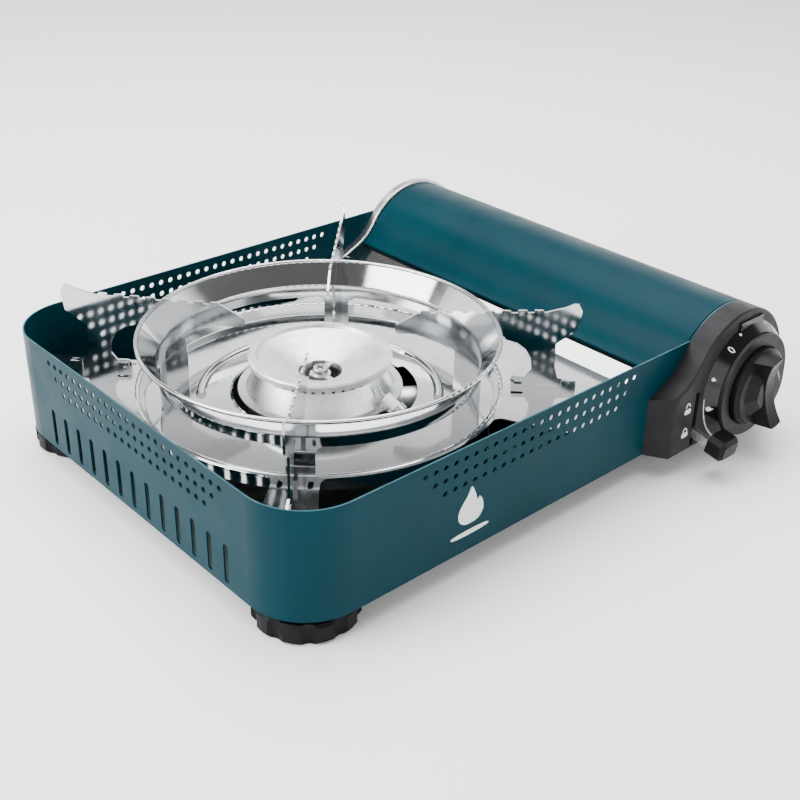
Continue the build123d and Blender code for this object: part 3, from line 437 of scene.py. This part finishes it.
def solid_mark(name, outline, place, ink):
    """A filled print with a shallow edge."""
    cx = sum(p[0] for p in outline) / len(outline)
    cy = sum(p[1] for p in outline) / len(outline)
    inner = [(cx + 0.7 * (x - cx), cy + 0.7 * (y - cy)) for x, y in outline]
    return raised(name, outline, inner, place, ink, filled=True)


class Ink:
    """White printing ink with slight wear, and its height."""

    def __init__(self, colours, sizes):
        self.height = sizes.ink_height
        white = Finish("white_ink")
        worn = tuple(0.75 * part for part in colours.print_white)
        cloud = white.span(white.noise(1.5 * MM, 5), 0, 1)
        white.colour(white.blend(cloud, colours.print_white, worn))
        white.roughness(white.span(white.noise(1 * MM, 4), 0.4, 0.6))
        white.bump(white.noise(0.4 * MM, 2), 0.01 * MM, 0.4)
        self.material = white.material


FLAME = (
    (0, 0), (0.24, 0.03), (0.38, 0.2), (0.37, 0.42), (0.25, 0.64), (0.2, 0.5), (0.12, 0.74), (0.0, 1.0),
    (-0.09, 0.76), (-0.28, 0.55), (-0.38, 0.36), (-0.34, 0.14), (-0.18, 0.02),
)
TRIANGLE = ((-0.5, 0), (0.5, 0), (0, 0.9))


def front_face(x, y, z):
    """Places marks on an upright face that looks to the front."""
    return lambda u, v, h: (x + u, y - h, z + v)


def dial_face(turn):
    """Places marks on the sloping dial ring, at a turn from its top, clockwise from the front."""
    axis_x, _, axis_z = middle("valve_stem")
    low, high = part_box("dial_ring")
    outer = (high[0] - low[0]) / 2
    rise = high[1] - low[1]
    run = outer - DIAL_INNER_RADIUS
    length = hypot(run, rise)
    slope = (-run / length, -rise / length)
    normal = (rise / length, -run / length)

    def place(u, v, h):
        along = length / 2 + v
        radius = outer + along * slope[0] + h * normal[0]
        y = high[1] + along * slope[1] + h * normal[1]
        angle = turn + u / outer
        return axis_x + radius * sin(angle), y, axis_z + radius * cos(angle)

    return place


class STOVE_OT_painted_metal(bpy.types.Operator):
    """Paints the body, the lid and the base plate"""
    bl_idname = "stove.painted_metal"
    bl_label = "Painted metal"

    def execute(self, context):
        colours = context.scene.stove_colours
        assign(("lid",), enamel("lid_enamel", colours))
        assign(("body_shell",), enamel("wall_enamel", colours, WALL_TOP))
        # base plate and partition get the painted shade finish
        assign(UNDERSIDE, underside_painted_shade(colours))
        return {"FINISHED"}


class STOVE_OT_polished_metal(bpy.types.Operator):
    """Polishes the tray, the wind ring and the pan supports"""
    bl_idname = "stove.polished_metal"
    bl_label = "Polished metal"

    def execute(self, context):
        assign(POLISHED, polished_steel(context.scene.stove_colours))
        return {"FINISHED"}


class STOVE_OT_burner(bpy.types.Operator):
    """Finishes the burner head and the spark electrode"""
    bl_idname = "stove.burner"
    bl_label = "Burner"

    def execute(self, context):
        assign(("burner_head",), burner_alloy(context.scene.stove_colours, middle("burner_head")))
        glaze = moulding("glazed_ceramic", (0.74, 0.73, 0.69), 0.15, 0.28, 0.01 * MM, 0.4)
        assign(("electrode_ceramic",), glaze)
        return {"FINISHED"}


class STOVE_OT_inner_works(bpy.types.Operator):
    """Finishes the valve, the tubes and the brackets"""
    bl_idname = "stove.inner_works"
    bl_label = "Inner works"

    def execute(self, context):
        assign(SATIN, satin_steel())
        assign(ZINC, zinc_steel())
        assign(CAST, cast_alloy())
        assign(BRASS, brass())
        rubber = moulding("seal_rubber", (0.012, 0.012, 0.012), 0.6, 0.8, 0.04 * MM)
        cover = moulding("lead_cover", (0.5, 0.49, 0.46), 0.4, 0.55, 0.02 * MM)
        assign(("inlet_seal",), rubber)
        assign(("ignition_lead",), cover)
        return {"FINISHED"}


class STOVE_OT_controls(bpy.types.Operator):
    """Finishes the housing, the dial, the knob and the lever cap"""
    bl_idname = "stove.controls"
    bl_label = "Controls"

    def execute(self, context):
        colours = context.scene.stove_colours
        black = colours.black_moulding
        assign(("knob_housing",), moulding("grey_moulding", colours.housing, 0.36, 0.5, 0.03 * MM))
        assign(("dial_ring",), moulding("gloss_black", black, 0.12, 0.22, 0.005 * MM, 0.5))
        assign(BLACK, moulding("black_moulding", black, 0.3, 0.44, 0.02 * MM))
        return {"FINISHED"}


class STOVE_OT_feet(bpy.types.Operator):
    """Finishes the four feet"""
    bl_idname = "stove.feet"
    bl_label = "Feet"

    def execute(self, context):
        tone = context.scene.stove_colours.black_moulding
        assign(FEET, moulding("foot_moulding", tone, 0.42, 0.58, 0.05 * MM))
        return {"FINISHED"}


class STOVE_OT_marks(bpy.types.Operator):
    """Prints the dial signs, the padlock signs and a plain flame sign"""
    bl_idname = "stove.marks"
    bl_label = "Printed marks"

    def execute(self, context):
        sizes = context.scene.stove_sizes
        ink = Ink(context.scene.stove_colours, sizes)
        mark = sizes.dial_mark
        low = -mark / 2
        outside = oval(0.3 * mark, mark / 2)
        inside = oval(0.18 * mark, 0.36 * mark)
        raised("dial_zero", outside, inside, dial_face(radians(-38)), ink)
        flame = scaled(softened(FLAME), mark, mark, (0, low))
        solid_mark("dial_flame_large", flame, dial_face(radians(-100)), ink)
        small = scaled(softened(FLAME), 0.65 * mark, 0.65 * mark, (0, low))
        solid_mark("dial_flame_small", small, dial_face(radians(-70)), ink)
        for number, turn in enumerate((-20, 20), 1):
            pointer = scaled(softened(TRIANGLE, 1), 0.5 * mark, 0.5 * mark, (0, low))
            solid_mark(f"dial_pointer_{number}", pointer, dial_face(radians(turn)), ink)
        self.power_arc(mark, ink)
        self.lock_signs(sizes, ink)
        self.flame_sign(sizes, ink)
        return {"FINISHED"}

    def power_arc(self, mark, ink):
        """The stripe below the flames, which narrows from full to low heat."""
        last = HEAT_ARC_STEPS - 1
        along = [HEAT_ARC_SWEEP * i / last * DIAL_OUTER_RADIUS for i in range(HEAT_ARC_STEPS)]
        half = [(0.03 + 0.1 * (1 - i / last)) * mark for i in range(HEAT_ARC_STEPS)]
        drop = 0.75 * mark
        left = [(u, -h - drop) for u, h in zip(along, half)]
        right = [(u, h - drop) for u, h in zip(along, half)]
        raised("dial_power_arc", left, right, dial_face(HEAT_ARC_START), ink, closed=False)

    def lock_signs(self, sizes, ink):
        """Two padlocks beside the lever slot, the upper one open."""
        low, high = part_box("lever_arm")
        size = sizes.lock_sign
        face_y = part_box("dial_ring")[1][1]
        body = softened(((-0.4, 0), (0, 0), (0.4, 0), (0.4, 0.45), (0, 0.45), (-0.4, 0.45)), 1)
        for number, (z, lift) in enumerate(((22 * MM, 0.0), (36 * MM, 0.12)), 1):
            place = front_face(low[0] - 6 * MM, face_y, z)
            solid_mark(f"lock_body_{number}", scaled(body, size, size), place, ink)
            turns = [pi * i / 20 for i in range(21)]
            base = (0.5 + lift) * size
            outer = [(0.3 * size * cos(t), base + 0.38 * size * sin(t)) for t in turns]
            inner = [(0.2 * size * cos(t), base + 0.27 * size * sin(t)) for t in turns]
            raised(f"lock_shackle_{number}", outer, inner, place, ink, closed=False)

    def flame_sign(self, sizes, ink):
        """A plain flame above a bar on the front wall."""
        low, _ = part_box("body_shell")
        size = sizes.emblem_height
        place = front_face(low[0] + sizes.emblem_x, low[1], sizes.emblem_z)
        outline = scaled(softened(FLAME, 3), 0.8 * size, 0.78 * size, (0, 0.22 * size))
        solid_mark("front_flame", outline, place, ink)
        bar = softened(((-1, 0), (1, 0), (1, 0.12), (-1, 0.12)), 2)
        solid_mark("front_bar", scaled(bar, 0.45 * size, 0.8 * size), place, ink)


class STOVE_OT_studio(bpy.types.Operator):
    """Lays the floor, hangs the lights and places the camera"""
    bl_idname = "stove.studio"
    bl_label = "Studio"

    def execute(self, context):
        studio = context.scene.stove_studio
        self.floor(studio)
        self.room(context.scene, studio)
        self.softbox("overhead_light", (0.15, 0.25, 1.1), 1.1, studio.overhead_power)
        self.softbox("key_light", (-0.95, 0.35, 0.8), 0.8, studio.key_power)
        self.camera(context.scene, studio)
        return {"FINISHED"}

    def floor(self, studio):
        half = studio.floor_width / 2
        shape = bmesh.new()
        corners = ((-half, -half), (half, -half), (half, half), (-half, half))
        shape.faces.new([shape.verts.new((x, y, 0)) for x, y in corners])
        mesh = bpy.data.meshes.new("studio_floor")
        shape.to_mesh(mesh)
        shape.free()
        card = Finish("floor_card")
        tone = studio.floor_tone
        card.colour(card.blend(card.span(card.noise(0.4), 0, 1), (tone,) * 3, (0.985 * tone,) * 3))
        card.fixed(Roughness=0.75, Specular_IOR_Level=0.2)
        mesh.materials.append(card.material)
        floor = bpy.data.objects.new("studio_floor", mesh)
        bpy.context.scene.collection.objects.link(floor)

    def room(self, scene, studio):
        """Light from all round, dimmer in a band between the horizon and the ceiling."""
        world = bpy.data.worlds.new("studio_room")
        world.use_nodes = True
        scene.world = world
        tree = world.node_tree
        place = tree.nodes.new("ShaderNodeTexCoord")
        split = tree.nodes.new("ShaderNodeSeparateXYZ")
        ramp = tree.nodes.new("ShaderNodeValToRGB")
        stops = ((0.0, 1.0), (0.73, 1.0), (0.78, 0.09), (0.93, 0.07), (0.965, 1.0))
        while len(ramp.color_ramp.elements) < len(stops):
            ramp.color_ramp.elements.new(0.5)
        for element, (position, tone) in zip(ramp.color_ramp.elements, stops):
            element.position = position
            element.color = (tone, tone, tone, 1)
        height = tree.nodes.new("ShaderNodeMapRange")
        height.inputs["From Min"].default_value = -1
        back = tree.nodes["Background"]
        back.inputs["Strength"].default_value = studio.room_strength
        tree.links.new(place.outputs["Generated"], split.inputs["Vector"])
        tree.links.new(split.outputs["Z"], height.inputs["Value"])
        tree.links.new(height.outputs["Result"], ramp.inputs["Fac"])
        tree.links.new(ramp.outputs["Color"], back.inputs["Color"])

    def softbox(self, name, place, size, power):
        light = bpy.data.lights.new(name, "AREA")
        light.size = size
        light.energy = power
        lamp = bpy.data.objects.new(name, light)
        lamp.location = place
        lamp.rotation_euler = (-Vector(place)).to_track_quat("-Z", "Y").to_euler()
        bpy.context.scene.collection.objects.link(lamp)

    def camera(self, scene, studio):
        data = bpy.data.cameras.new("studio_camera")
        data.sensor_width = SENSOR_WIDTH
        data.lens = studio.focal_length * SENSOR_WIDTH
        data.shift_x, data.shift_y = studio.shift
        place = Vector(studio.camera_place)
        forward = (Vector(studio.camera_target) - place).normalized()
        right = forward.cross(Vector((0, 0, 1))).normalized()
        up = right.cross(forward)
        c, s = cos(studio.camera_roll), sin(studio.camera_roll)
        axes = Matrix((c * right + s * up, c * up - s * right, -forward)).transposed()
        camera = bpy.data.objects.new("studio_camera", data)
        camera.matrix_world = Matrix.Translation(place) @ axes.to_4x4()
        scene.collection.objects.link(camera)
        scene.camera = camera


OPERATORS = (
    STOVE_OT_painted_metal,
    STOVE_OT_polished_metal,
    STOVE_OT_burner,
    STOVE_OT_inner_works,
    STOVE_OT_controls,
    STOVE_OT_feet,
    STOVE_OT_marks,
    STOVE_OT_studio,
)


class STOVE_PT_panel(bpy.types.Panel):
    """Lists the stove's steps in the sidebar"""
    bl_idname = "STOVE_PT_panel"
    bl_label = "Camping stove"
    bl_space_type = "VIEW_3D"
    bl_region_type = "UI"
    bl_category = "Camping stove"

    def draw(self, context):
        for operator in OPERATORS:
            self.layout.operator(operator.bl_idname)


SETTINGS = {
    "stove_colours": StoveColours,
    "stove_sizes": StoveSizes,
    "stove_studio": StoveStudio,
}


def register():
    for name, group in SETTINGS.items():
        bpy.utils.register_class(group)
        setattr(bpy.types.Scene, name, bpy.props.PointerProperty(type=group))
    for operator in OPERATORS:
        bpy.utils.register_class(operator)
    bpy.utils.register_class(STOVE_PT_panel)


def unregister():
    bpy.utils.unregister_class(STOVE_PT_panel)
    for operator in reversed(OPERATORS):
        bpy.utils.unregister_class(operator)
    for name, group in SETTINGS.items():
        delattr(bpy.types.Scene, name)
        bpy.utils.unregister_class(group)


def main():
    register()
    for operator in OPERATORS:
        step = operator.bl_idname.split(".")[1]
        getattr(bpy.ops.stove, step)()


if __name__ == "__main__":
    main()
